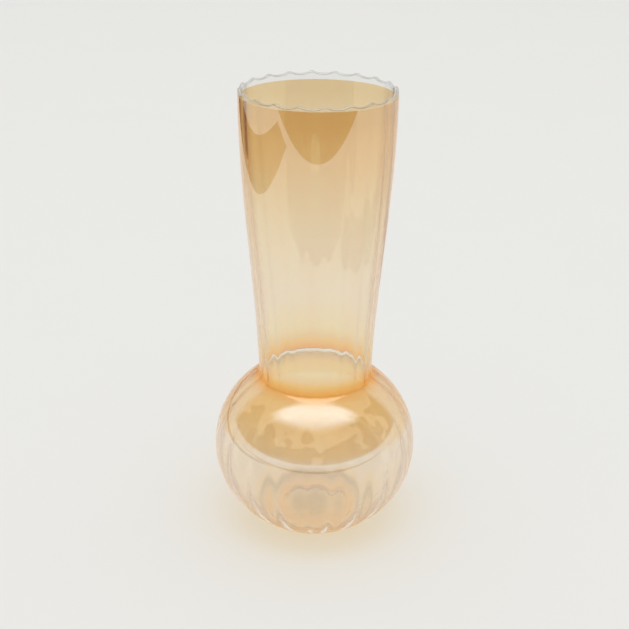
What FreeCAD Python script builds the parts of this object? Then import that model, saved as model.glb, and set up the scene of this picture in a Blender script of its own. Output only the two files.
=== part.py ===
import FreeCAD, Part
import Sketcher
import math
import os

# Gourd vase of blown optic glass: a flared, ribbed neck sealed to a ribbed, slightly flattened globe.
# The wall is one run of glass. Its zones are kept as separate solids that meet face to face: the clear
# lip, the neck, the seal at the crease, the globe and the base with its pushed-up underside.
# Origin: centre of the standing ring, on the plane the vase stands on. +Z runs up the axis to the mouth.

# Driving sizes in millimetres
LENGTHS = {
    # Whole vase
    "total_height": 250.0,
    "wall": 1.9,
    "overrun": 6.0,
    # Neck: its outline is one curve with four control points, from its foot inside the globe to the mouth
    "neck_foot_radius": 31.0,
    "neck_low_radius": 31.6,
    "neck_high_radius": 41.4,
    "mouth_radius": 40.5,
    "neck_sink": 4.8,
    # Globe: a sphere pressed a little flat, cut off at the ring it stands on
    "globe_radius": 56.4,
    "globe_half_height": 51.8,
    "stand_radius": 22.5,
    # Seal: how far the zone of the crease reaches down the globe and up the neck
    "crease_rounding": 4.0,
    "seal_below": 4.3,
    "seal_above": 5.2,
    # Optic ribs on the inside
    "rib_height": 0.6,
    "rib_fade_height": 9.0,
    # Lip: the band that the lustre leaves clear
    "lip_height": 3.6,
    "lip_rounding": 0.7,
    "dip_depth": 1.2,
    # Base: standing ring, pushed-up underside and thick floor
    "base_height": 9.0,
    "floor_height": 3.2,
    "ring_width": 3.5,
    "ring_rounding": 0.8,
    "kick_height": 4.6,
    "hump_lap": 2.0,
    "hump_height": 4.6,
    "hump_rounding": 3.0,
}
COUNTS = {"rib_count": 20}
# Driving angles in degrees
ANGLES = {"rib_phase": 5.0, "rib_drift": 7.0, "lustre_tilt": 1.6}

# Heights of the neck's control points, as shares of the neck's length
NECK_POLE_SHARES = (0, 1 / 3, 2 / 3, 1)
# How far the control points of a quarter ellipse lie along their tangents, as a share of the half axes
QUARTER_SHARE = 0.5523
# Levels of the hollow's sections between the ends of each zone, as shares of its height
BASE_LEVEL_SHARES = (0.3, 0.6)
GLOBE_LEVEL_SHARES = (0.07, 0.18, 0.32, 0.5, 0.68, 0.82, 0.92)
SEAL_LEVEL_SHARES = (0.16, 0.3, 0.42, 0.56, 0.75)
NECK_LEVEL_SHARES = (0.25, 0.5, 0.75)
# How far the hollow runs on past an open end, as a share of the overrun
PAST_SHARE = 0.5
# Width of the dip between two ribs along the lip, as a share of their distance
DIP_SHARE = 0.84
# How near an edge has to lie to a level to count as on it, as a share of the wall
NEAR_SHARE = 0.1
# Sharpness of the bend inside the crease and of a rib's crest
CREASE_POWER = 20
RIB_POWER = 2
POINTS_PER_RIB = 6


class Size:
    """A number together with the sheet formula that it follows."""

    def __init__(self, value, text):
        self.value = value
        self.text = text

    def joined(self, other, sign, value):
        """This size and another size or plain factor, joined by an arithmetic sign."""
        return Size(value, f"({self.text} {sign} {getattr(other, 'text', other)})")

    def __add__(self, other):
        return self.joined(other, "+", self.value + number(other))

    def __sub__(self, other):
        return self.joined(other, "-", self.value - number(other))

    def __mul__(self, other):
        return self.joined(other, "*", self.value * number(other))

    def __truediv__(self, other):
        return self.joined(other, "/", self.value / number(other))


def number(size):
    """The number behind a size, or the number itself."""
    return getattr(size, "value", size)


def height_share(across, radius):
    """How high an ellipse stands at a distance across from its axis, as a share of its half height."""
    share = across / radius
    return Size(math.sqrt(1 - share.value ** 2), f"sqrt(1 - {share.text}^2)")


def ball_radius(across, height):
    """Radius of the ball whose cap has that radius across and that height."""
    return (across * across + height * height) / (height * 2)


class Sizes:
    """The driving sizes of the sheet, and the places that are worked out from them."""

    def __init__(self, doc):
        sheet = doc.addObject("Spreadsheet::Sheet", "Sizes")
        for row, (alias, value) in enumerate({**LENGTHS, **COUNTS, **ANGLES}.items(), start=1):
            sheet.set(f"A{row}", alias)
            sheet.set(f"B{row}", str(value))
            sheet.setAlias(f"B{row}", alias)
            setattr(self, alias, Size(value, f"Sizes.{alias}"))
        doc.recompute()
        self.centre = self.globe_half_height * height_share(self.stand_radius, self.globe_radius)
        self.crown = self.centre + self.globe_half_height
        foot_share = height_share(self.neck_foot_radius, self.globe_radius)
        self.crease = self.centre + self.globe_half_height * foot_share
        self.neck_foot = self.crease - self.neck_sink
        self.seal_low = self.crease - self.seal_below
        self.seal_top = self.crease + self.seal_above
        self.above = self.total_height + self.overrun
        self.kick_radius = self.stand_radius - self.ring_width
        self.ribs = int(self.rib_count.value)


def new_sketch(body, name):
    """Makes a sketch on the body's upright XZ plane: across is the radius, up is the height."""
    plane = next(feature for feature in body.Origin.OriginFeatures if feature.Role == "XZ_Plane")
    sketch = body.newObject("Sketcher::SketchObject", name)
    sketch.AttachmentSupport = [(plane, "")]
    sketch.MapMode = "FlatFace"
    return sketch


def tie(sketch, kind, geometry, position, size):
    """Ties one point of the sketch to a signed distance from the origin."""
    index = sketch.addConstraint(Sketcher.Constraint(kind, -1, 1, geometry, position, size.value))
    sketch.setExpression(f"Constraints[{index}]", size.text)


def add_curve(sketch, poles):
    """Adds a cubic curve with four control points, each a (radius, height) pair. None is the axis."""
    curve = Part.BezierCurve()
    curve.setPoles([FreeCAD.Vector(across.value if across else 0, up.value, 0) for across, up in poles])
    index = sketch.addGeometry(curve.toBSpline(), False)
    sketch.exposeInternalGeometry(index)
    for pole, (across, up) in enumerate(poles, start=index + 1):
        if across:
            tie(sketch, "DistanceX", pole, 3, across)
        else:
            sketch.addConstraint(Sketcher.Constraint("PointOnObject", pole, 3, -2))
        tie(sketch, "DistanceY", pole, 3, up)
    return index


def add_lines(sketch, points):
    """Adds a chain of straight edges through (radius, height) numbers and returns their indices."""
    corners = [FreeCAD.Vector(across, up, 0) for across, up in points]
    lines = [sketch.addGeometry(Part.LineSegment(*ends), False) for ends in zip(corners, corners[1:])]
    for line, following in zip(lines, lines[1:]):
        sketch.addConstraint(Sketcher.Constraint("Coincident", line, 2, following, 1))
    return lines


def revolve(body, sketch, name):
    """Turns the sketch a whole turn about the vase's axis."""
    turned = body.newObject("PartDesign::Revolution", name)
    turned.Profile = sketch
    turned.ReferenceAxis = (sketch, ["V_Axis"])
    turned.Angle = 360.0
    return turned


def add_globe(body, sizes):
    """Turns the globe from two quarter ellipses, crown to waist and waist to foot."""
    radius, half, centre = sizes.globe_radius, sizes.globe_half_height, sizes.centre
    foot = centre - half
    sketch = new_sketch(body, "globe_profile")
    upper = add_curve(sketch, [(None, sizes.crown), (radius * QUARTER_SHARE, sizes.crown),
                               (radius, centre + half * QUARTER_SHARE), (radius, centre)])
    lower = add_curve(sketch, [(radius, centre), (radius, centre - half * QUARTER_SHARE),
                               (radius * QUARTER_SHARE, foot), (None, foot)])
    axis, = add_lines(sketch, [(0, foot.value), (0, sizes.crown.value)])
    sketch.addConstraint(Sketcher.Constraint("Coincident", axis, 1, lower, 2))
    sketch.addConstraint(Sketcher.Constraint("Coincident", axis, 2, upper, 1))
    return revolve(body, sketch, "globe")


def add_neck(body, sizes):
    """Turns the neck as a column, one curve from its foot inside the globe to the mouth."""
    low, top = sizes.neck_foot, sizes.total_height
    radii = (sizes.neck_foot_radius, sizes.neck_low_radius, sizes.neck_high_radius, sizes.mouth_radius)
    sketch = new_sketch(body, "neck_profile")
    side = add_curve(sketch, [(radius, low + (top - low) * share)
                              for radius, share in zip(radii, NECK_POLE_SHARES)])
    mouth, axis, foot = add_lines(sketch, [(sizes.mouth_radius.value, top.value), (0, top.value),
                                           (0, low.value), (sizes.neck_foot_radius.value, low.value)])
    sketch.addConstraint(Sketcher.Constraint("Coincident", side, 2, mouth, 1))
    sketch.addConstraint(Sketcher.Constraint("Coincident", foot, 2, side, 1))
    sketch.addConstraint(Sketcher.Constraint("Horizontal", mouth))
    sketch.addConstraint(Sketcher.Constraint("Horizontal", foot))
    sketch.addConstraint(Sketcher.Constraint("PointOnObject", axis, 1, -2))
    sketch.addConstraint(Sketcher.Constraint("PointOnObject", axis, 2, -2))
    return revolve(body, sketch, "neck_column")


def ring_edge(shape, level, near):
    """Name of the widest round edge that lies within near of a level."""
    rings = {}
    for index, edge in enumerate(shape.Edges, start=1):
        box = edge.BoundBox
        if abs(box.ZMax - level) < near and abs(box.ZMin - level) < near:
            rings[f"Edge{index}"] = box.XMax
    return max(rings, key=rings.get)


def make_form(doc, sizes):
    """The outside of the whole vase as one solid, with the crease and the mouth's outer edge rounded."""
    body = doc.addObject("PartDesign::Body", "gourd_form")
    add_globe(body, sizes)
    last = add_neck(body, sizes)
    near = sizes.wall.value * NEAR_SHARE
    for name, level, rounding in (("crease", sizes.crease, sizes.crease_rounding),
                                  ("mouth_edge", sizes.total_height, sizes.lip_rounding)):
        doc.recompute()
        rounded = body.newObject("PartDesign::Fillet", name)
        rounded.Base = (last, [ring_edge(last.Shape, level.value, near)])
        rounded.setExpression("Radius", rounding.text)
        last = rounded
    body.Tip = last
    return body


def neck_radius(sizes, height):
    """Outer radius of the neck at a height, from the same control points as its outline."""
    low, top = sizes.neck_foot.value, sizes.total_height.value
    share = (height - low) / (top - low)
    rest = 1 - share
    return (rest ** 3 * sizes.neck_foot_radius.value
            + 3 * rest ** 2 * share * sizes.neck_low_radius.value
            + 3 * rest * share ** 2 * sizes.neck_high_radius.value
            + share ** 3 * sizes.mouth_radius.value)


def hollow_radius(sizes, height):
    """Radius of the smooth hollow at a height: globe below, neck above, blended inside the crease."""
    centre, wall = sizes.centre.value, sizes.wall.value
    lift = (height - centre) / (sizes.globe_half_height.value - wall)
    globe = (sizes.globe_radius.value - wall) * math.sqrt(max(0, 1 - lift ** 2))
    if height <= centre:
        return globe
    neck = neck_radius(sizes, max(height, sizes.neck_foot.value)) - wall
    return (globe ** CREASE_POWER + neck ** CREASE_POWER) ** (1 / CREASE_POWER)


def rib_direction(sizes, height):
    """Direction of the first rib at a height, in degrees. The ribs drift round down the neck."""
    top, low = sizes.total_height.value, sizes.seal_low.value
    share = min(1, max(0, (top - height) / (top - low)))
    return sizes.rib_phase.value + share * sizes.rib_drift.value


def hollow_section(sizes, height):
    """One closed, ribbed outline of the hollow at a height. The ribs fade out towards the floor."""
    radius = hollow_radius(sizes, height)
    fade = (height - sizes.floor_height.value) / sizes.rib_fade_height.value
    rib = sizes.rib_height.value * min(1, max(0, fade))
    start = math.radians(rib_direction(sizes, height))
    steps = sizes.ribs * POINTS_PER_RIB
    points = []
    for step in range(steps):
        turn = 2 * math.pi * step / steps
        crest = ((1 + math.cos(sizes.ribs * turn)) / 2) ** RIB_POWER
        reach = radius - rib * crest
        turn += start
        points.append(FreeCAD.Vector(reach * math.cos(turn), reach * math.sin(turn), height))
    outline = Part.BSplineCurve()
    outline.interpolate(Points=points, PeriodicFlag=True)
    return Part.Wire([outline.toShape()])


def make_hollow(doc, sizes, name, bottom, top, shares, open_below=True):
    """The ribbed space inside one zone, lofted through sections that run on past its open ends."""
    past = sizes.overrun.value * PAST_SHARE
    levels = [bottom + share * (top - bottom) for share in (0, *shares, 1)]
    if open_below:
        levels.insert(0, bottom - past)
    levels.append(top + past)
    sections = []
    for index, level in enumerate(levels):
        section = doc.addObject("Part::Feature", f"{name}_section_{index}")
        section.Shape = hollow_section(sizes, level)
        sections.append(section)
    hollow = doc.addObject("Part::Loft", name)
    hollow.Sections = sections
    hollow.Solid = True
    hollow.Ruled = False
    return hollow


def combine(doc, kind, name, base, tool):
    """Adds a cut, common or fuse of two objects and returns it."""
    result = doc.addObject(kind, name)
    result.Base = base
    result.Tool = tool
    return result


def make_zone(doc, sizes, name, bottom, top):
    """A plain disc, wider than the vase, that spans one zone from a bottom level, or zero, to a top."""
    zone = doc.addObject("Part::Cylinder", name)
    zone.setExpression("Radius", (sizes.globe_radius + sizes.overrun).text)
    zone.setExpression("Height", (top - bottom).text if bottom else top.text)
    if bottom:
        zone.setExpression("Placement.Base.z", bottom.text)
    return zone


def make_cap(doc, name, across, height, base):
    """A shallow dome: the top of a ball, on a flat disc at the base level, or at zero."""
    ball = ball_radius(across, height)
    cap = doc.addObject("Part::Sphere", name)
    cap.setExpression("Radius", ball.text)
    cap.setExpression("Angle1", f"asin(1 - {(height / ball).text})")
    cap.setExpression("Placement.Base.z", (height + base - ball if base else height - ball).text)
    return cap


def round_edges(doc, name, source, picks, radius):
    """Rounds the edges with those numbers."""
    rounded = doc.addObject("Part::Fillet", name)
    rounded.Base = source
    rounded.Edges = [(pick, radius.value, radius.value) for pick in picks]
    return rounded


def make_walls(doc, sizes, form, name, bottom, top, shares):
    """One zone of the plain wall: the outer form between two levels, less its ribbed hollow."""
    zone = make_zone(doc, sizes, f"{name}_zone", bottom, top)
    block = combine(doc, "Part::Common", f"{name}_block", form, zone)
    hollow = make_hollow(doc, sizes, f"{name}_hollow", bottom.value, top.value, shares)
    return combine(doc, "Part::Cut", name, block, hollow)


def make_mask(doc, sizes):
    """The space above the edge of the lustre, which is tilted a little on the neck."""
    mask = make_zone(doc, sizes, "lustre_mask", sizes.total_height - sizes.lip_height, sizes.above)
    mask.Placement.Rotation = FreeCAD.Rotation(FreeCAD.Vector(-1, 0, 0), sizes.lustre_tilt.value)
    mask.setExpression("Placement.Rotation.Angle", sizes.lustre_tilt.text)
    return mask


def make_lip(doc, sizes, wall, mask):
    """The clear, fire-polished lip: the top band of the wall, dipping a little between the ribs."""
    band = combine(doc, "Part::Common", "lip_band", wall, mask)
    half = sizes.mouth_radius * (math.pi * DIP_SHARE) / sizes.rib_count
    radius = ball_radius(half, sizes.dip_depth)
    centre = sizes.total_height + radius - sizes.dip_depth
    dips = []
    for step in range(sizes.ribs):
        turn = rib_direction(sizes, sizes.total_height.value) + 360 * (step + 1 / 2) / sizes.ribs
        dip = doc.addObject("Part::Cylinder", f"dip_{step}")
        dip.Placement.Rotation = FreeCAD.Rotation(turn, 90, 0)
        dip.setExpression("Radius", radius.text)
        dip.setExpression("Height", (sizes.mouth_radius + sizes.overrun).text)
        dip.setExpression("Placement.Base.z", centre.text)
        dips.append(dip)
    all_dips = doc.addObject("Part::Compound", "dips")
    all_dips.Links = dips
    return combine(doc, "Part::Cut", "fire_polished_lip", band, all_dips)


def make_base(doc, sizes, form):
    """The base: a standing ring round a pushed-up underside, with a thick domed floor over it."""
    zone = make_zone(doc, sizes, "base_zone", None, sizes.base_height)
    block = combine(doc, "Part::Common", "base_block", form, zone)
    hollow = make_hollow(doc, sizes, "base_hollow", sizes.floor_height.value, sizes.base_height.value,
                         BASE_LEVEL_SHARES, open_below=False)
    dish = combine(doc, "Part::Cut", "base_dish", block, hollow)
    hump_radius = sizes.kick_radius + sizes.hump_lap
    hump = make_cap(doc, "floor_hump", hump_radius, sizes.hump_height, sizes.floor_height)
    thick = combine(doc, "Part::Fuse", "base_thick", dish, hump)
    kick = make_cap(doc, "kick", sizes.kick_radius, sizes.kick_height, None)
    kicked = combine(doc, "Part::Cut", "base_kicked", thick, kick)
    doc.recompute()

    # The hump runs softly into the floor, and both edges of the standing ring are eased
    near = sizes.wall.value * NEAR_SHARE
    floor, reach = sizes.floor_height.value, hump_radius.value + near
    boxes = [edge.BoundBox for edge in kicked.Shape.Edges]
    picks = [index for index, box in enumerate(boxes, start=1)
             if abs(box.ZMax - floor) < near and abs(box.ZMin - floor) < near and box.XMax < reach]
    soft = round_edges(doc, "base_soft", kicked, picks, sizes.hump_rounding)
    doc.recompute()
    picks = [index for index, edge in enumerate(soft.Shape.Edges, start=1) if edge.BoundBox.ZMax < near]
    return round_edges(doc, "standing_base", soft, picks, sizes.ring_rounding)


def check(doc, nodes):
    """Stops if any object failed to build or any node is not one sound solid."""
    for item in doc.Objects:
        if "Invalid" in item.State or "Error" in item.State:
            raise RuntimeError(f"{item.Label} failed: {item.State}")
    for node in nodes:
        if node.Shape.isNull() or not node.Shape.isValid() or len(node.Shape.Solids) != 1:
            raise RuntimeError(f"{node.Label} is not one sound solid")


def main():
    """Builds the vase's zones and writes each as its own file."""
    doc = FreeCAD.newDocument("gourd_vase")
    sizes = Sizes(doc)
    form = make_form(doc, sizes)
    mask = make_mask(doc, sizes)
    neck = make_walls(doc, sizes, form, "neck_wall", sizes.seal_top, sizes.total_height, NECK_LEVEL_SHARES)
    nodes = [
        make_lip(doc, sizes, neck, mask),
        combine(doc, "Part::Cut", "ribbed_neck", neck, mask),
        make_walls(doc, sizes, form, "neck_seal", sizes.seal_low, sizes.seal_top, SEAL_LEVEL_SHARES),
        make_walls(doc, sizes, form, "ribbed_globe", sizes.base_height, sizes.seal_low, GLOBE_LEVEL_SHARES),
        make_base(doc, sizes, form),
    ]
    doc.recompute()
    check(doc, nodes)
    os.makedirs("parts", exist_ok=True)
    for node in nodes:
        node.Shape.exportStep(f"parts/{node.Label}.step")


main()
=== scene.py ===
"""Gourd vase of blown optic glass with a champagne lustre, dressed for the studio.

The wall is one run of borosilicate glass. Each zone of it replaces the solid of the same zone: the clear
lip, the neck, the seal at the crease, the globe and the base. Sizes are in millimetres unless said.
"""
import logging
import math
from dataclasses import dataclass, field
from enum import Enum
from typing import Any, Callable, Sequence

import bpy
import numpy as np
from mathutils import Matrix, Vector


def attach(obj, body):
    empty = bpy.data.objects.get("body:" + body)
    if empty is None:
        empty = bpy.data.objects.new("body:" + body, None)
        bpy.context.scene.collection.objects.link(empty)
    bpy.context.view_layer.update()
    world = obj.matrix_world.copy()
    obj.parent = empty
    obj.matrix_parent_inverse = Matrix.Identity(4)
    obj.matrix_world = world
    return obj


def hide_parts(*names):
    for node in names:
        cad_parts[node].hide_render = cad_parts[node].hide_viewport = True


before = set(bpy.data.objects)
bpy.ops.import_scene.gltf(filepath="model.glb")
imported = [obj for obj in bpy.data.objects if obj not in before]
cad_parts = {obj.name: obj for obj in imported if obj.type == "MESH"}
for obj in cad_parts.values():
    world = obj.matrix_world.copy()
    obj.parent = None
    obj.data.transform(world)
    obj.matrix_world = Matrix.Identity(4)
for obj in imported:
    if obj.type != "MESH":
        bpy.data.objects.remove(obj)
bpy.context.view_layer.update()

LOG = logging.getLogger("gourd_vase")
MM = 0.001
BODY = "root"
# A count of bounces above this means that there was at least one
ANY_BOUNCE = 0.5
# What the wall leaves of light that has run a long way in it
LAST_LIGHT = (0.97, 0.97, 0.97, 1.0)
# Points of a ring closer together than this, in metres, are one point
SAME_PLACE = 1e-7
# Part of a sheet's share, and of a turn in radians, over which its slope is read
SLOPE_STEP = 1e-4
SHORTEST = 1e-30
# Radius that the globe's outline keeps above its top, where the neck hides it
SLIMMEST = 1.0


def linear(colour: str) -> tuple[float, float, float, float]:
    """Turns an sRGB hex colour into linear light.

    Args:
        colour: Six hex digits after a hash.

    Returns:
        Linear red, green, blue and an alpha of one.
    """
    parts = [int(colour[i:i + 2], 16) / 255 for i in (1, 3, 5)]
    lit = [p / 12.92 if p <= 0.04045 else ((p + 0.055) / 1.055) ** 2.4 for p in parts]
    return lit[0], lit[1], lit[2], 1.0


def add_node(tree: bpy.types.NodeTree, kind: str, settings: dict[str, Any] | None = None,
             links: dict[str | int, bpy.types.NodeSocket] | None = None) -> bpy.types.Node:
    """Adds a node with its settings and links.

    Args:
        tree: The tree it goes into.
        kind: Name of the node's type.
        settings: Values by property name, or by input name or number.
        links: Output sockets by the input name or number that they feed.

    Returns:
        The new node.
    """
    node = tree.nodes.new(kind)
    for key, value in (settings or {}).items():
        if isinstance(key, str) and hasattr(node, key):
            setattr(node, key, value)
        else:
            node.inputs[key].default_value = value
    for key, socket in (links or {}).items():
        tree.links.new(socket, node.inputs[key])
    return node


def new_material(name: str) -> bpy.types.Material:
    """Makes an empty node material."""
    made = bpy.data.materials.new(name)
    made.use_nodes = True
    made.node_tree.nodes.clear()
    return made


def light_through(tree: bpy.types.NodeTree, glass: bpy.types.Node, tint: str, reach: float) -> None:
    """Ends a glass material so that soft studio light reaches the table through it, tinted.

    Args:
        tree: The material's tree.
        glass: The glass shader.
        tint: What one pass does to the light, as sRGB hex.
        reach: How many faces light meets before it leaves the wall straight on.
    """
    path = add_node(tree, "ShaderNodeLightPath")
    lamp = add_node(tree, "ShaderNodeMath", {"operation": "MAXIMUM"},
                    {0: path.outputs["Is Shadow Ray"], 1: path.outputs["Is Diffuse Ray"]})
    tinted = add_node(tree, "ShaderNodeBsdfTransparent", {"Color": linear(tint)})
    # Light that has run a long way along the wall comes out of it at last
    far = add_node(tree, "ShaderNodeMath", {"operation": "GREATER_THAN", 1: reach},
                   {0: path.outputs["Ray Depth"]})
    clear = add_node(tree, "ShaderNodeBsdfTransparent", {"Color": LAST_LIGHT})
    near = add_node(tree, "ShaderNodeMixShader",
                    links={0: far.outputs[0], 1: glass.outputs["BSDF"], 2: clear.outputs["BSDF"]})
    mixed = add_node(tree, "ShaderNodeMixShader",
                     links={0: lamp.outputs[0], 1: near.outputs[0], 2: tinted.outputs["BSDF"]})
    add_node(tree, "ShaderNodeOutputMaterial", links={"Surface": mixed.outputs[0]})


class Skin(Enum):
    """The three kinds of surface on a zone of the wall, by material index."""

    OUTSIDE = 0
    INSIDE = 1
    JOINT = 2


@dataclass(frozen=True)
class LustredGlass:
    """Borosilicate glass, blown, then sprayed outside with a metal oxide lustre while hot.

    The oxide is a clear film of high index, thinner than a quarter of a wavelength, over an amber stain.
    The film mirrors like pale silver and the stain lets amber through, so that the wall is champagne
    where it mirrors something pale and amber where it mirrors something dark. The spray lies heavier on
    the globe's shoulder and under the lip, and the tint is deeper there. The tint is deepest in the
    crease, a band that is partly the heavier stain and partly painted shade; the crease mirrors orange.
    """

    name: str = "borosilicate_blown_champagne_lustre"
    glass_ior: float = 1.47
    film_ior: float = 2.0
    film_nm: float = 45.0
    # Tint of two passes through the wall at heights above the standing plane, in mm
    tints: tuple[tuple[float, str], ...] = (
        (0.0, "#FFD8A4"), (2.5, "#EEDCC0"), (4.6, "#BEB6A6"), (7.0, "#FFF0D4"), (11.0, "#FFFAEE"),
        (15.0, "#FFF5E0"), (48.0, "#FFF4DA"), (63.0, "#FFF6E0"), (66.0, "#FFDC9A"), (78.0, "#FFCC74"),
        # Partly painted shade: the deep orange band from 87 to 97 mm, in the crease
        (87.0, "#FFC060"), (92.0, "#FF8A1E"), (97.0, "#FFBE50"), (105.0, "#FFECA4"), (125.0, "#FFF2D4"),
        (155.0, "#FFF0CE"), (190.0, "#FAE4AE"), (218.0, "#F8CF88"), (230.0, "#F2CA82"),
        (240.0, "#E6BC74"), (250.0, "#E6BC74"))
    # What the film does to the light that it mirrors, at the same heights
    mirror_tints: tuple[tuple[float, str], ...] = (
        (0.0, "#D89440"), (14.0, "#E4B474"), (24.0, "#FFFFFF"), (87.0, "#FFFFFF"), (91.0, "#FF9C3C"),
        (95.0, "#FFB45C"), (100.0, "#FFFFFF"), (250.0, "#FFFFFF"))
    # The spray leaves faint streaks down the vase: their width, how many to the metre of height, how
    # broken they are, where in the noise they start and end, and what the heaviest lets through
    streak_mm: float = 6.0
    streak_rate: float = 6.0
    streak_detail: float = 3.0
    streak_span: tuple[float, float] = (0.3, 0.7)
    faintest: float = 0.93
    shade_tint: str = "#FBF0DC"
    roughness: float = 0.0
    reach: float = 4.5

    def material(self) -> bpy.types.Material:
        """Builds the material.

        Returns:
            The lustred glass.
        """
        made = new_material(self.name)
        tree = made.node_tree
        place = add_node(tree, "ShaderNodeTexCoord")
        sideways = 1 / (self.streak_mm * MM)
        stretch = add_node(tree, "ShaderNodeMapping", {"Scale": (sideways, sideways, self.streak_rate)},
                           {"Vector": place.outputs["Object"]})
        streaks = add_node(tree, "ShaderNodeTexNoise", {"Scale": 1.0, "Detail": self.streak_detail},
                           {"Vector": stretch.outputs["Vector"]})
        low, high = self.streak_span
        depth = add_node(tree, "ShaderNodeMapRange",
                         {"From Min": low, "From Max": high, "To Min": self.faintest, "To Max": 1.0},
                         {"Value": streaks.outputs["Fac"]})
        axes = add_node(tree, "ShaderNodeSeparateXYZ", links={0: place.outputs["Object"]})
        top = self.tints[-1][0]
        height = add_node(tree, "ShaderNodeMapRange", {"From Min": 0.0, "From Max": top * MM},
                          {"Value": axes.outputs["Z"]})
        stain, mirrored = (self.by_height(tree, height.outputs["Result"], tints)
                           for tints in (self.tints, self.mirror_tints))
        # Streaks of heavier spray hold back blue light most and red light least
        streaked = add_node(tree, "ShaderNodeCombineColor", {"Red": 1.0},
                            {"Green": depth.outputs["Result"], "Blue": depth.outputs["Result"]})
        colour = add_node(tree, "ShaderNodeMix", {"data_type": "RGBA", "blend_type": "MULTIPLY", 0: 1.0},
                          {6: stain.outputs["Color"], 7: streaked.outputs["Color"]})
        glass = add_node(tree, "ShaderNodeBsdfPrincipled",
                         {"Roughness": self.roughness, "IOR": self.glass_ior, "Transmission Weight": 1.0,
                          "Thin Film Thickness": self.film_nm, "Thin Film IOR": self.film_ior},
                         {"Base Color": colour.outputs[2], "Specular Tint": mirrored.outputs["Color"]})
        light_through(tree, glass, self.shade_tint, self.reach)
        return made

    @staticmethod
    def by_height(tree: bpy.types.NodeTree, height: bpy.types.NodeSocket,
                  tints: tuple[tuple[float, str], ...]) -> bpy.types.Node:
        """Adds a ramp of tints by height.

        Args:
            tree: The material's tree.
            height: Height as a share of the last stop's.
            tints: Height in mm and colour of each stop.

        Returns:
            The ramp.
        """
        ramp = add_node(tree, "ShaderNodeValToRGB", links={"Fac": height})
        stops = ramp.color_ramp.elements
        while len(stops) < len(tints):
            stops.new(0.5)
        for stop, (above, tint) in zip(stops, tints):
            stop.position = above / tints[-1][0]
            stop.color = linear(tint)
        return ramp


@dataclass(frozen=True)
class ClearGlass:
    """Bare borosilicate glass, blown and fire polished, as on the lip and all over the inside.

    It is colourless and mirror smooth, so that it shows as highlights. The grey along its edges is
    painted shade, which greys its colour where it is seen at a graze.
    """

    name: str = "borosilicate_fire_polished_clear"
    glass_ior: float = 1.47
    tint: str = "#FDFEFD"
    painted_edge_shade: str = "#988C7C"
    # How far from face-on the painted edge shade starts, as a share
    edge_from: float = 0.55
    film_ior: float = 1.33
    film_nm: float = 0.0
    shade_tint: str = "#FDFDFD"
    roughness: float = 0.0
    reach: float = 4.5

    def material(self) -> bpy.types.Material:
        """Builds the material.

        Returns:
            The clear glass.
        """
        made = new_material(self.name)
        tree = made.node_tree
        # Painted shade: the colour greys towards the edges, where the glass is seen at a graze, to stand
        # for the longer way that light runs in it there
        graze = add_node(tree, "ShaderNodeLayerWeight")
        ramp = add_node(tree, "ShaderNodeValToRGB", links={"Fac": graze.outputs["Facing"]})
        facing, edge = ramp.color_ramp.elements
        facing.position = self.edge_from
        facing.color, edge.color = linear(self.tint), linear(self.painted_edge_shade)
        glass = add_node(tree, "ShaderNodeBsdfPrincipled",
                         {"Roughness": self.roughness, "IOR": self.glass_ior, "Transmission Weight": 1.0,
                          "Thin Film Thickness": self.film_nm, "Thin Film IOR": self.film_ior},
                         {"Base Color": ramp.outputs["Color"]})
        light_through(tree, glass, self.shade_tint, self.reach)
        return made


@dataclass(frozen=True)
class FusedJoint:
    """Where one zone of the wall runs on into the next: glass in glass, which nothing shows."""

    name: str = "borosilicate_fused_joint"

    def material(self) -> bpy.types.Material:
        """Builds the material.

        Returns:
            A surface that lets everything through.
        """
        made = new_material(self.name)
        tree = made.node_tree
        glass = add_node(tree, "ShaderNodeBsdfPrincipled", {"Alpha": 0.0, "Roughness": 0.0, "IOR": 1.0})
        add_node(tree, "ShaderNodeOutputMaterial", links={"Surface": glass.outputs["BSDF"]})
        return made


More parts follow.
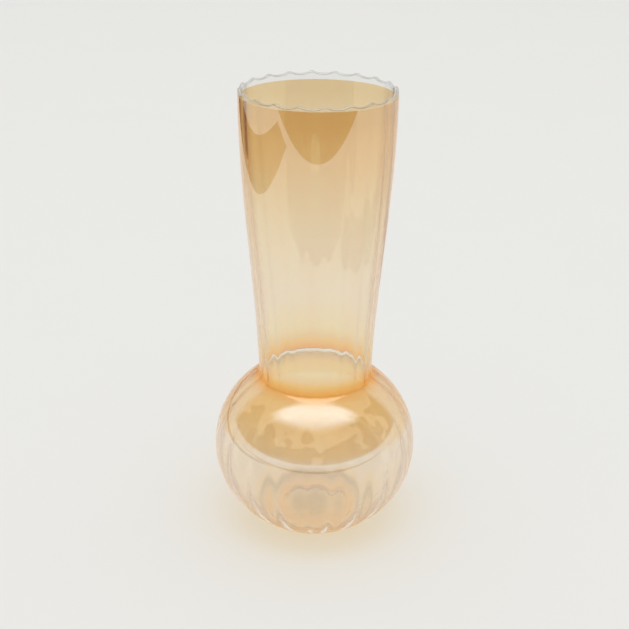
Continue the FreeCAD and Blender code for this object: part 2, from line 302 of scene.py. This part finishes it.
@dataclass(frozen=True)
class Form:
    """The shape that all zones share: outline, wall, ribs and the wavy lip."""

    total_height: float = 250.0
    wall: float = 1.9
    # The neck's outline is a cubic through the first and last radius, which the other two pull on
    neck_foot: float = 85.97
    neck_radii: tuple[float, ...] = (31.0, 31.6, 41.4, 40.5)
    globe_radius: float = 56.4
    globe_half_height: float = 51.8
    globe_centre: float = 47.5
    # How sharply neck and globe meet, outside and inside
    crease_power: float = 32.0
    hollow_power: float = 20.0
    # Heights of the joints between the zones
    seal_low: float = 86.47
    seal_top: float = 95.97
    base_top: float = 9.0
    floor_height: float = 3.2
    # Optic ribs inside, which fade out at the floor and drift round by some degrees down the neck
    ribs: int = 20
    rib_height: float = 0.5
    neck_rib_height: float = 0.22
    rib_power: float = 2.0
    rib_fade: float = 6.0
    rib_phase: float = 5.0
    rib_drift: float = 7.0
    # Dips of the lip between ribs, each as wide as this share of the gap
    dip_depth: float = 1.2
    dip_share: float = 0.84
    dip_power: float = 0.75
    # The plane at which the lustre ends: height, tilt in degrees and the radius where it meets the wall
    lustre_edge: float = 246.4
    lustre_tilt: float = 1.6
    lustre_radius: float = 40.0
    steps_per_rib: int = 20

    def turns(self) -> np.ndarray:
        """Directions of one ring of points, in radians."""
        return np.linspace(0, 2 * math.pi, self.ribs * self.steps_per_rib, endpoint=False)

    def neck(self, height: np.ndarray) -> np.ndarray:
        """Outer radius of the neck at each height."""
        span = self.total_height - self.neck_foot
        share = (np.maximum(height, self.neck_foot) - self.neck_foot) / span
        rest = 1 - share
        low, lower, upper, top = self.neck_radii
        return (rest ** 3 * low + 3 * rest ** 2 * share * lower + 3 * rest * share ** 2 * upper
                + share ** 3 * top)

    def shell(self, height: np.ndarray, inset: float, power: float) -> np.ndarray:
        """Radius of the globe and neck blended into one outline.

        Args:
            height: Heights above the standing plane.
            inset: How far inside the outer face.
            power: Sharpness of the crease.

        Returns:
            The radius at each height.
        """
        lift = (height - self.globe_centre) / (self.globe_half_height - inset)
        globe = (self.globe_radius - inset) * np.sqrt(np.maximum(0, 1 - lift ** 2))
        neck = self.neck(height) - inset
        blend = (np.maximum(globe, SLIMMEST) ** power + neck ** power) ** (1 / power)
        return np.where(height <= self.globe_centre, globe, blend)

    def crest(self, turn: np.ndarray, height: np.ndarray) -> np.ndarray:
        """How far up a rib each place is, from 0 between two ribs to 1 on a crest."""
        down = np.clip((self.total_height - height) / (self.total_height - self.seal_low), 0, 1)
        start = np.radians(self.rib_phase + down * self.rib_drift)
        return ((1 + np.cos(self.ribs * (turn - start))) / 2) ** self.rib_power

    def outside(self, turn: np.ndarray, height: np.ndarray) -> np.ndarray:
        """Outer radius at each place."""
        return self.shell(height, 0.0, self.crease_power) + 0 * turn

    def inside(self, turn: np.ndarray, height: np.ndarray) -> np.ndarray:
        """Inner radius at each place, ribs included."""
        fade = np.clip((height - self.floor_height) / self.rib_fade, 0, 1)
        up = np.clip((height - self.globe_centre) / (self.seal_top - self.globe_centre), 0, 1)
        tall = self.rib_height + (self.neck_rib_height - self.rib_height) * up * up * (3 - 2 * up)
        return self.shell(height, self.wall, self.hollow_power) - tall * fade * self.crest(turn, height)

    def rim(self, turn: np.ndarray) -> np.ndarray:
        """Height of the lip all round: narrow crests at the ribs, a shallow dip between them."""
        start = math.radians(self.rib_phase)
        off_crest = np.abs((self.ribs * (turn - start) / (2 * math.pi) + 0.5) % 1 - 0.5) * 2
        from_middle = (1 - off_crest) / self.dip_share
        dip = np.maximum(0, 1 - from_middle ** 2) ** self.dip_power
        return self.total_height - self.dip_depth * dip

    def lustre_line(self, turn: np.ndarray) -> np.ndarray:
        """Height at which the lustre ends, on a slightly tilted plane."""
        tilt = math.tan(math.radians(self.lustre_tilt)) * self.lustre_radius
        return self.lustre_edge - tilt * np.sin(turn)


Surface = Callable[[np.ndarray, np.ndarray], np.ndarray]


def across(turn: np.ndarray, radius: np.ndarray, height: np.ndarray) -> np.ndarray:
    """Points in metres from directions, radii and heights."""
    radius, height = np.broadcast_arrays(radius, height)
    return np.stack([radius * np.cos(turn), radius * np.sin(turn), height + 0 * turn], -1) * MM


@dataclass
class Sheet:
    """One skin of a zone: a grid of points, rings by directions, with its true normals."""

    surface: Surface
    shares: Sequence[float]
    skin: Skin

    def grid(self, turns: np.ndarray) -> tuple[np.ndarray, np.ndarray]:
        """Works out the points and normals.

        Args:
            turns: Directions of the points of a ring.

        Returns:
            Points and normals, each rings by directions by three.
        """
        turn, share = np.meshgrid(turns, np.asarray(self.shares, float))
        round_it = self.surface(turn + SLOPE_STEP, share) - self.surface(turn - SLOPE_STEP, share)
        along = self.surface(turn, share + SLOPE_STEP) - self.surface(turn, share - SLOPE_STEP)
        normal = np.cross(round_it, along)
        length = np.linalg.norm(normal, axis=-1, keepdims=True)
        return self.surface(turn, share), normal / np.maximum(length, SHORTEST)


@dataclass
class Zone:
    """A zone of the wall as one closed mesh, made from sheets that run on from one another."""

    form: Form
    piece: str
    node: str
    slot: str

    def sheets(self) -> list[Sheet]:
        """The zone's sheets, in order from the lower outer edge over the top and back down inside."""
        raise NotImplementedError

    def materials(self, finishes: dict[str, bpy.types.Material]) -> list[bpy.types.Material]:
        """The zone's materials in the order of Skin."""
        return [finishes["lustre"], finishes["clear"], finishes["joint"]]

    def build(self, finishes: dict[str, bpy.types.Material]) -> bpy.types.Object:
        """Builds the zone, dresses it and puts it on the body.

        Args:
            finishes: The materials by name.

        Returns:
            The new object.
        """
        turns = self.form.turns()
        count = len(turns)
        points: list[np.ndarray] = []
        faces: list[tuple[int, ...]] = []
        skins: list[int] = []
        normals: list[tuple[float, float, float]] = []
        total = 0
        last_ring: list[int] | None = None
        first_ring: list[int] | None = None
        for sheet in self.sheets():
            place, normal = sheet.grid(turns)
            rings: list[list[int]] = []
            for index in range(len(place)):
                if index == 0 and last_ring is not None:
                    rings.append(last_ring)
                    continue
                if np.ptp(place[index], axis=0).max() < SAME_PLACE:
                    points.append(place[index][:1])
                    rings.append([total] * count)
                    total += 1
                else:
                    points.append(place[index])
                    rings.append(list(range(total, total + count)))
                    total += count
            if first_ring is None:
                first_ring = rings[0]
            self.stitch(rings, normal, sheet.skin, faces, skins, normals)
            last_ring = rings[-1]
        if len(set(last_ring)) > 1:
            self.close(last_ring, first_ring, faces, skins, normals)
        mesh = bpy.data.meshes.new(self.piece)
        mesh.from_pydata(np.concatenate(points).tolist(), [], faces)
        mesh.polygons.foreach_set("material_index", skins)
        mesh.polygons.foreach_set("use_smooth", [True] * len(faces))
        for material in self.materials(finishes):
            mesh.materials.append(material)
        mesh.normals_split_custom_set(normals)
        mesh.update()
        made = bpy.data.objects.new(self.piece, mesh)
        bpy.context.scene.collection.objects.link(made)
        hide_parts(self.node)
        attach(made, BODY)
        return made

    @staticmethod
    def stitch(rings: list[list[int]], normal: np.ndarray, skin: Skin, faces: list[tuple[int, ...]],
               skins: list[int], normals: list[tuple[float, float, float]]) -> None:
        """Adds the faces between the rings of one sheet.

        Args:
            rings: Point numbers, ring by ring.
            normal: The sheet's normals.
            skin: The sheet's kind of surface.
            faces: Faces so far, added to.
            skins: Material index of each face, added to.
            normals: Normal of each face corner, added to.
        """
        count = len(rings[0])
        for row in range(len(rings) - 1):
            below, above = rings[row], rings[row + 1]
            for col in range(count):
                right = (col + 1) % count
                corners = [(below[col], row, col), (below[right], row, right),
                           (above[right], row + 1, right), (above[col], row + 1, col)]
                if below[col] == below[right]:
                    corners = [corners[0], corners[2], corners[3]]
                elif above[col] == above[right]:
                    corners = corners[:3]
                faces.append(tuple(corner[0] for corner in corners))
                skins.append(skin.value)
                normals.extend(tuple(normal[r, c]) for _, r, c in corners)

    @staticmethod
    def close(last: list[int], first: list[int], faces: list[tuple[int, ...]], skins: list[int],
              normals: list[tuple[float, float, float]]) -> None:
        """Closes the zone's lower joint with level faces."""
        count = len(first)
        for col in range(count):
            right = (col + 1) % count
            faces.append((last[col], last[right], first[right], first[col]))
            skins.append(Skin.JOINT.value)
            normals.extend([(0.0, 0.0, -1.0)] * 4)


def evenly(count: int) -> list[float]:
    """Shares from 0 to 1 in that many equal steps."""
    return [step / count for step in range(count + 1)]


def bridge(low: Surface, high: Surface, skin: Skin) -> Sheet:
    """A straight sheet from the end of one surface to the start of the next.

    Args:
        low: The surface that it starts from, at its end.
        high: The surface that it runs to, at its start.
        skin: Its kind of surface.

    Returns:
        The sheet.
    """
    def surface(turn: np.ndarray, share: np.ndarray) -> np.ndarray:
        """Places on the way from one edge to the other."""
        start, end = low(turn, 1 + 0 * share), high(turn, 0 * share)
        return start + (end - start) * share[..., None]
    return Sheet(surface, (0, 1), skin)


@dataclass
class WallZone(Zone):
    """A zone of plain wall between two heights."""

    bottom: float = 0.0
    top: float = 0.0
    rows: int = 40

    def top_at(self, turn: np.ndarray) -> np.ndarray:
        """Height of the upper joint in each direction."""
        return self.top + 0 * turn

    def outer(self, turn: np.ndarray, share: np.ndarray) -> np.ndarray:
        """Outer face from the lower joint to the upper one."""
        height = self.bottom + share * (self.top_at(turn) - self.bottom)
        return across(turn, self.form.outside(turn, height), height)

    def inner(self, turn: np.ndarray, share: np.ndarray) -> np.ndarray:
        """Inner face from the upper joint down to the lower one."""
        height = self.bottom + (1 - share) * (self.top_at(turn) - self.bottom)
        return across(turn, self.form.inside(turn, height), height)

    def sheets(self) -> list[Sheet]:
        """Outer face, upper joint and inner face."""
        return [Sheet(self.outer, evenly(self.rows), Skin.OUTSIDE),
                bridge(self.outer, self.inner, Skin.JOINT),
                Sheet(self.inner, evenly(self.rows), Skin.INSIDE)]


@dataclass
class RibbedNeck(WallZone):
    """The flared neck, up to the slightly tilted edge of the lustre."""

    def top_at(self, turn: np.ndarray) -> np.ndarray:
        """Height of the lustre's edge in each direction."""
        return self.form.lustre_line(turn)


@dataclass
class FirePolishedLip(Zone):
    """The clear lip: its edge was melted round in the flame and dips a little between the ribs."""

    rounding: float = 0.95
    rows: int = 5
    arc_rows: int = 12

    def outer(self, turn: np.ndarray, share: np.ndarray) -> np.ndarray:
        """Outer face from the lustre's edge to the start of the rounding."""
        low, high = self.form.lustre_line(turn), self.form.rim(turn) - self.rounding
        height = low + share * (high - low)
        return across(turn, self.form.outside(turn, height), height)

    def arc(self, turn: np.ndarray, share: np.ndarray) -> np.ndarray:
        """The melted edge, from the outer face over to the inner one."""
        spring = self.form.rim(turn) - self.rounding
        out, into = self.form.outside(turn, spring), self.form.inside(turn, spring)
        angle = share * math.pi
        middle, half = (out + into) / 2, (out - into) / 2
        return across(turn, middle + half * np.cos(angle), spring + self.rounding * np.sin(angle))

    def inner(self, turn: np.ndarray, share: np.ndarray) -> np.ndarray:
        """Inner face from the rounding down to the lustre's edge."""
        low, high = self.form.lustre_line(turn), self.form.rim(turn) - self.rounding
        height = high + share * (low - high)
        return across(turn, self.form.inside(turn, height), height)

    def sheets(self) -> list[Sheet]:
        """Outer face, melted edge and inner face."""
        return [Sheet(self.outer, evenly(self.rows), Skin.INSIDE),
                Sheet(self.arc, evenly(self.arc_rows), Skin.OUTSIDE),
                Sheet(self.inner, evenly(self.rows), Skin.INSIDE)]

    def materials(self, finishes: dict[str, bpy.types.Material]) -> list[bpy.types.Material]:
        """Flamed glass on the melted edge, bare glass on both faces."""
        return [finishes["flamed"], finishes["bare"], finishes["joint"]]


@dataclass
class StandingBase(Zone):
    """The base: a soft standing ring round the pushed-up underside, with a thick domed floor."""

    kick_radius: float = 19.0
    kick_height: float = 4.6
    kick_lift: float = 0.25
    ring_offset: float = 1.75
    ring_reach: float = 1.6
    ring_rise: float = 0.6
    ring_degrees: float = 60.0
    side_foot: float = 1.0
    floor_edge: float = 1.6
    hump_radius: float = 21.0
    hump_top: float = 7.8
    hump_power: float = 1.3
    rib_reach: float = 6.0
    # Points on each part of the two outlines
    kick_points: int = 24
    ring_points: int = 9
    side_points: int = 14
    wall_points: int = 8
    hump_points: int = 20
    rows: int = 64

    def under(self, turn: np.ndarray, share: np.ndarray) -> np.ndarray:
        """Underside and outer face, from the middle of the pushed-up part to the upper joint."""
        radius, height = follow(self.under_line(), share)
        return across(turn, radius, height)

    def under_line(self) -> np.ndarray:
        """Outline of the underside as radius and height."""
        form = self.form
        kick = np.linspace(0, 1, self.kick_points)
        lifted = self.kick_height * (1 - kick ** 2) + self.kick_lift
        dome = np.stack([self.kick_radius * kick, lifted], -1)
        half = math.radians(self.ring_degrees)
        angle = np.linspace(-half, half, self.ring_points)
        ring = np.stack([self.kick_radius + self.ring_offset + self.ring_reach * np.sin(angle),
                         self.ring_rise * (1 - np.cos(angle))], -1)
        rise = np.linspace(self.side_foot, form.base_top, self.side_points)
        side = np.stack([form.shell(rise, 0.0, form.crease_power), rise], -1)
        # The dome's last two points lie within the ring
        return np.concatenate([dome[:-2], ring, side])

    def over_line(self) -> np.ndarray:
        """Outline of the inside as radius and height, from the upper joint to the floor's middle."""
        form = self.form
        fall = np.linspace(form.base_top, form.floor_height + self.floor_edge, self.wall_points)
        side = np.stack([form.shell(fall, form.wall, form.hollow_power), fall], -1)
        hump = np.linspace(1, 0, self.hump_points)
        swell = (1 - hump ** 2) ** self.hump_power
        rise = form.floor_height + (self.hump_top - form.floor_height) * swell
        floor = np.stack([self.hump_radius * hump, rise], -1)
        return np.concatenate([side, floor])

    def over(self, turn: np.ndarray, share: np.ndarray) -> np.ndarray:
        """Inner face and floor, from the upper joint to the middle."""
        form = self.form
        radius, height = follow(self.over_line(), share)
        fade = np.clip((height - form.floor_height) / form.rib_fade, 0, 1)
        fade = fade * np.clip((radius - self.hump_radius) / self.rib_reach, 0, 1)
        return across(turn, radius - form.rib_height * fade * form.crest(turn, height), height)

    def sheets(self) -> list[Sheet]:
        """Underside and outer face, upper joint, inner face and floor."""
        return [Sheet(self.under, evenly(self.rows), Skin.OUTSIDE),
                bridge(self.under, self.over, Skin.JOINT),
                Sheet(self.over, evenly(self.rows), Skin.INSIDE)]


def follow(line: np.ndarray, share: np.ndarray) -> tuple[np.ndarray, np.ndarray]:
    """Places along a smooth curve through the points of an outline.

    Args:
        line: Radius and height of each point.
        share: How far along, from 0 to 1.

    Returns:
        Radii and heights.
    """
    run = np.concatenate([[0], np.cumsum(np.hypot(*np.diff(line, axis=0).T))])
    run /= run[-1]
    out = []
    for values in line.T:
        slope = np.gradient(values, run)
        out.append(hermite(run, values, slope, np.asarray(share, float)))
    return out[0], out[1]


def hermite(knots: np.ndarray, values: np.ndarray, slopes: np.ndarray, at: np.ndarray) -> np.ndarray:
    """Cubic through knots with the given slopes.

    Args:
        knots: Rising places.
        values: Value at each knot.
        slopes: Slope at each knot.
        at: Where to read the curve.

    Returns:
        The values there.
    """
    low = np.clip(np.searchsorted(knots, at, side="right") - 1, 0, len(knots) - 2)
    gap = knots[low + 1] - knots[low]
    part = (at - knots[low]) / gap
    rest = 1 - part
    return (rest ** 2 * (1 + 2 * part) * values[low] + part ** 2 * (3 - 2 * part) * values[low + 1]
            + gap * (part * rest ** 2 * slopes[low] - part ** 2 * rest * slopes[low + 1]))


@dataclass
class Vase:
    """The whole vase, zone by zone."""

    form: Form = field(default_factory=Form)

    def zones(self) -> list[Zone]:
        """The vase's zones from the lip down."""
        form, lustred = self.form, "lustred_glass"
        return [
            FirePolishedLip(form, "lip_glass", "fire_polished_lip", "clear_glass"),
            RibbedNeck(form, "neck_glass", "ribbed_neck", lustred,
                       bottom=form.seal_top, top=form.total_height, rows=70),
            WallZone(form, "seal_glass", "neck_seal", lustred,
                     bottom=form.seal_low, top=form.seal_top, rows=20),
            WallZone(form, "globe_glass", "ribbed_globe", lustred,
                     bottom=form.base_top, top=form.seal_low, rows=56),
            StandingBase(form, "base_glass", "standing_base", lustred),
        ]

    def build(self) -> list[bpy.types.Object]:
        """Builds every zone.

        Returns:
            The new objects.
        """
        # Painted shade: the lip's bare faces turn near black where they are seen at a graze
        bare = ClearGlass(name="borosilicate_fire_polished_lip", painted_edge_shade="#3E403C", reach=0.5)
        # A breath of the clear oxide lies on the melted edge, so that it shines. Its grey colour and the
        # near black along its grazing edges are painted shade, for the grey that its round shows
        flamed = ClearGlass(name="borosilicate_flame_rounded_clear", tint="#C8CCC6", painted_edge_shade="#1E201C",
                            film_ior=2.0, film_nm=50.0, reach=0.5)
        glasses = {"bare": bare, "lustre": LustredGlass(), "clear": ClearGlass(), "flamed": flamed,
                   "joint": FusedJoint()}
        finishes = {use: glass.material() for use, glass in glasses.items()}
        made = []
        for zone in self.zones():
            piece = zone.build(finishes)
            LOG.info("%s stands for %s, %d faces", piece.name, zone.node, len(piece.data.polygons))
            made.append(piece)
        return made


@dataclass
class Studio:
    """Pale table, plain overhead softbox, pale backdrop and the camera. Sizes in metres and degrees.

    The world's directions are parts of a unit vector: x to the right, y away from the camera, z up.
    """

    floor_side: float = 12.0
    floor_colour: str = "#EBEBEA"
    floor_roughness: float = 0.9
    floor_gloss: float = 0.2
    cloud_scale: float = 9.0
    cloud_detail: float = 2.0
    cloud_faintest: float = 0.985
    # Bands of the floor that the glass mirrors as a dim brown glow, a painted reflection: past the
    # paper's front edge and past its left one
    paper_front: tuple[float, float] = (-1.25, -0.61)
    paper_left: tuple[float, float] = (-0.8, -0.5)
    left_from: float = -0.52
    painted_reflection_colour: str = "#8C5A34"
    backdrop_colour: str = "#F0F0EE"
    fill_strength: float = 0.93
    # The room behind the camera: where it starts, and its furniture against a paler wall
    room_side: tuple[float, float] = (0.5, 0.35)
    room_foot: tuple[float, float] = (0.08, 0.12)
    room_colour: str = "#742C0A"
    wall_colour: str = "#D8B08C"
    room_scale: float = 3.4
    room_detail: float = 1.0
    skyline_rise: float = 1.6
    skyline_edge: tuple[float, float] = (1.24, 1.28)
    inner_dim: float = 0.75
    # The softbox as the glass mirrors it, on a level plane overhead
    lowest: float = 0.05
    glow_width: tuple[float, float] = (1.2, 0.5)
    glow_near: tuple[float, float] = (-1.12, -0.35)
    glow_far: tuple[float, float] = (-0.08, -0.22)
    glow_taper: tuple[float, float] = (-0.4, -1.0)
    glow_narrowing: float = 0.75
    glow_colour: str = "#FFFCF6"
    glow_strength: float = 2.5
    inner_glow_strength: float = 0.85
    softbox_size: tuple[float, float] = (5.0, 3.0)
    softbox_place: tuple[float, float, float] = (0.0, -1.6, 8.0)
    softbox_radiance: float = 3.0
    camera_place: tuple[float, float, float] = (0.0, -0.5714, 0.3819)
    camera_pitch: float = 24.17
    camera_roll: float = 0.566
    camera_pan: float = -0.074
    camera_clip: tuple[float, float] = (0.01, 50.0)
    focal_share: float = 1150.0 / 629.0
    sensor_mm: float = 36.0

    def floor(self) -> bpy.types.Object:
        """Lays the table top.

        Returns:
            The floor.
        """
        side = self.floor_side
        mesh = bpy.data.meshes.new("table_top")
        mesh.from_pydata([(-side, -side, 0), (side, -side, 0), (side, side, 0), (-side, side, 0)], [],
                         [(0, 1, 2, 3)])
        mesh.materials.append(self.paper())
        top = bpy.data.objects.new("table_top", mesh)
        bpy.context.scene.collection.objects.link(top)
        return top

    def paper(self) -> bpy.types.Material:
        """Builds the matt white paper: even and soft, with a faint cloudiness about a hand wide.

        Returns:
            The paper, with a painted reflection: past its front and left edges it glows dim brown to
                mirrored rays, as a dim room would.
        """
        made = new_material("paper_matt_white")
        tree = made.node_tree
        place = add_node(tree, "ShaderNodeTexCoord")
        cloud = add_node(tree, "ShaderNodeTexNoise",
                         {"Scale": self.cloud_scale, "Detail": self.cloud_detail},
                         {"Vector": place.outputs["Object"]})
        tone = add_node(tree, "ShaderNodeMapRange", {"To Min": self.cloud_faintest, "To Max": 1.0},
                        {"Value": cloud.outputs["Fac"]})
        colour = add_node(tree, "ShaderNodeMix",
                          {"data_type": "RGBA", "blend_type": "MULTIPLY", 0: 1.0,
                           6: linear(self.floor_colour)}, {7: tone.outputs["Result"]})
        paper = add_node(tree, "ShaderNodeBsdfPrincipled",
                         {"Roughness": self.floor_roughness, "Specular IOR Level": self.floor_gloss},
                         {"Base Color": colour.outputs[2]})
        axes = add_node(tree, "ShaderNodeSeparateXYZ", links={0: place.outputs["Object"]})
        past_front = self.between(tree, axes.outputs["Y"], self.paper_front)
        past_left = self.between(tree, axes.outputs["X"], self.paper_left)
        behind = add_node(tree, "ShaderNodeMath", {"operation": "GREATER_THAN", 1: self.left_from},
                          {0: axes.outputs["Y"]})
        left = add_node(tree, "ShaderNodeMath", {"operation": "MULTIPLY"},
                        {0: past_left, 1: behind.outputs[0]})
        past = add_node(tree, "ShaderNodeMath", {"operation": "MAXIMUM"},
                        {0: past_front, 1: left.outputs[0]})
        # Painted reflection: rays that have mirrored off anything see these bands as a dim brown glow,
        # not as paper
        path = add_node(tree, "ShaderNodeLightPath")
        mirrored = add_node(tree, "ShaderNodeMath", {"operation": "GREATER_THAN", 1: ANY_BOUNCE},
                            {0: path.outputs["Glossy Depth"]})
        share = add_node(tree, "ShaderNodeMath", {"operation": "MULTIPLY"},
                         {0: past.outputs[0], 1: mirrored.outputs[0]})
        dim = add_node(tree, "ShaderNodeEmission",
                       {"Color": linear(self.painted_reflection_colour), "Strength": 1.0})
        mixed = add_node(tree, "ShaderNodeMixShader",
                         links={0: share.outputs[0], 1: paper.outputs["BSDF"], 2: dim.outputs[0]})
        add_node(tree, "ShaderNodeOutputMaterial", links={"Surface": mixed.outputs[0]})
        return made

    @staticmethod
    def between(tree: bpy.types.NodeTree, place: bpy.types.NodeSocket,
                span: tuple[float, float]) -> bpy.types.NodeSocket:
        """One where a place lies within a span, else zero."""
        middle, half = sum(span) / 2, (span[1] - span[0]) / 2
        inside = add_node(tree, "ShaderNodeMath", {"operation": "COMPARE", 1: middle, 2: half},
                          {0: place})
        return inside.outputs[0]

    def softbox(self) -> bpy.types.Object:
        """Hangs the softbox high over the vase.

        Returns:
            The lamp.
        """
        lamp = bpy.data.lights.new("softbox", "AREA")
        lamp.shape = "RECTANGLE"
        lamp.size, lamp.size_y = self.softbox_size
        lamp.energy = self.softbox_radiance * math.pi * lamp.size * lamp.size_y
        made = bpy.data.objects.new("softbox", lamp)
        made.location = self.softbox_place
        made.rotation_euler = Vector(self.softbox_place).to_track_quat("Z", "Y").to_euler()
        # What the glass mirrors of it is in the world
        made.visible_glossy = made.visible_transmission = False
        bpy.context.scene.collection.objects.link(made)
        return made

    def world(self) -> bpy.types.World:
        """Sets the pale light all round, and what the glass mirrors: the dim room and the softbox.

        Returns:
            The world.
        """
        world = bpy.data.worlds.new("studio")
        world.use_nodes = True
        tree = world.node_tree
        tree.nodes.clear()
        place = add_node(tree, "ShaderNodeTexCoord")
        axes = add_node(tree, "ShaderNodeSeparateXYZ", links={0: place.outputs["Generated"]})
        x, y, z = (axes.outputs[axis] for axis in "XYZ")
        path = add_node(tree, "ShaderNodeLightPath")
        seen, within = (add_node(tree, "ShaderNodeMath", {"operation": "GREATER_THAN", 1: ANY_BOUNCE},
                                 {0: path.outputs[depth]}).outputs[0]
                        for depth in ("Glossy Depth", "Transmission Depth"))

        def times(*factors: bpy.types.NodeSocket) -> bpy.types.NodeSocket:
            """The product of all factors."""
            product = factors[0]
            for factor in factors[1:]:
                product = add_node(tree, "ShaderNodeMath", {"operation": "MULTIPLY"},
                                   {0: product, 1: factor}).outputs[0]
            return product

        def fade(value: bpy.types.NodeSocket, span: tuple[float, float]) -> bpy.types.NodeSocket:
            """Zero at the span's start, one at its end, smooth between."""
            start, end = span
            return add_node(tree, "ShaderNodeMapRange",
                            {"interpolation_type": "SMOOTHSTEP", "From Min": start, "From Max": end},
                            {"Value": value}).outputs["Result"]

        # Light that has been through the wall sees the room and the softbox fainter
        faint = add_node(tree, "ShaderNodeMapRange", {"To Min": 1.0, "To Max": self.inner_dim},
                         {"Value": within}).outputs["Result"]
        strength = add_node(tree, "ShaderNodeMapRange",
                            {"To Min": self.glow_strength, "To Max": self.inner_glow_strength},
                            {"Value": within}).outputs["Result"]
        dim = times(fade(y, self.room_side), fade(z, self.room_foot), seen, faint)
        # Where a mirrored ray meets the softbox's plane, in heights of that plane
        high = add_node(tree, "ShaderNodeMath", {"operation": "MAXIMUM", 1: self.lowest},
                        {0: z}).outputs[0]
        sideways, forward = (add_node(tree, "ShaderNodeMath", {"operation": "DIVIDE"},
                                      {0: along, 1: high}).outputs[0] for along in (x, y))
        aside = add_node(tree, "ShaderNodeMath", {"operation": "ABSOLUTE"}, {0: sideways}).outputs[0]
        wide, narrow = self.glow_taper
        narrowing = add_node(tree, "ShaderNodeMapRange",
                             {"From Min": wide, "From Max": narrow, "To Max": self.glow_narrowing},
                             {"Value": forward}).outputs["Result"]
        spread = add_node(tree, "ShaderNodeMath", {"operation": "ADD"},
                          {0: aside, 1: narrowing}).outputs[0]
        lit = times(fade(spread, self.glow_width), fade(forward, self.glow_near),
                    fade(forward, self.glow_far), seen)
        pale = add_node(tree, "ShaderNodeBackground",
                        {"Color": linear(self.backdrop_colour), "Strength": self.fill_strength})
        # The furniture stands as a broken skyline before the wall
        shapes = add_node(tree, "ShaderNodeTexNoise",
                          {"Scale": self.room_scale, "Detail": self.room_detail},
                          {"Vector": place.outputs["Generated"]})
        skyline = add_node(tree, "ShaderNodeMath", {"operation": "MULTIPLY_ADD", 1: self.skyline_rise},
                           {0: shapes.outputs["Fac"], 2: z})
        low, high_edge = self.skyline_edge
        tone = add_node(tree, "ShaderNodeMapRange", {"From Min": low, "From Max": high_edge},
                        {"Value": skyline.outputs[0]})
        colour = add_node(tree, "ShaderNodeMix",
                          {"data_type": "RGBA", 6: linear(self.room_colour),
                           7: linear(self.wall_colour)}, {0: tone.outputs["Result"]})
        room = add_node(tree, "ShaderNodeBackground", {"Strength": 1.0}, {"Color": colour.outputs[2]})
        glow = add_node(tree, "ShaderNodeBackground", {"Color": linear(self.glow_colour)},
                        {"Strength": strength})
        dimmed = add_node(tree, "ShaderNodeMixShader",
                          links={0: dim, 1: pale.outputs[0], 2: room.outputs[0]})
        mixed = add_node(tree, "ShaderNodeMixShader",
                         links={0: lit, 1: dimmed.outputs[0], 2: glow.outputs[0]})
        add_node(tree, "ShaderNodeOutputWorld", links={"Surface": mixed.outputs[0]})
        bpy.context.scene.world = world
        return world

    def camera(self) -> bpy.types.Object:
        """Sets up the camera at the photo's angle.

        Returns:
            The camera.
        """
        data = bpy.data.cameras.new("camera")
        data.sensor_width = self.sensor_mm
        data.lens = self.sensor_mm * self.focal_share
        data.clip_start, data.clip_end = self.camera_clip
        made = bpy.data.objects.new("camera", data)
        turn = (Matrix.Rotation(math.radians(-self.camera_pan), 4, "Z")
                @ Matrix.Rotation(math.radians(90 - self.camera_pitch), 4, "X")
                @ Matrix.Rotation(math.radians(self.camera_roll), 4, "Z"))
        made.matrix_world = Matrix.Translation(Vector(self.camera_place)) @ turn
        bpy.context.scene.collection.objects.link(made)
        bpy.context.scene.camera = made
        return made

    def build(self) -> None:
        """Sets up the whole studio."""
        self.floor()
        self.softbox()
        self.world()
        self.camera()
        bpy.context.scene.view_settings.view_transform = "Standard"
        LOG.info("studio is set")


def main() -> None:
    """Builds the vase and its studio."""
    logging.basicConfig(level=logging.INFO, format="%(message)s")
    Vase().build()
    Studio().build()


if __name__ == "__main__":
    main()
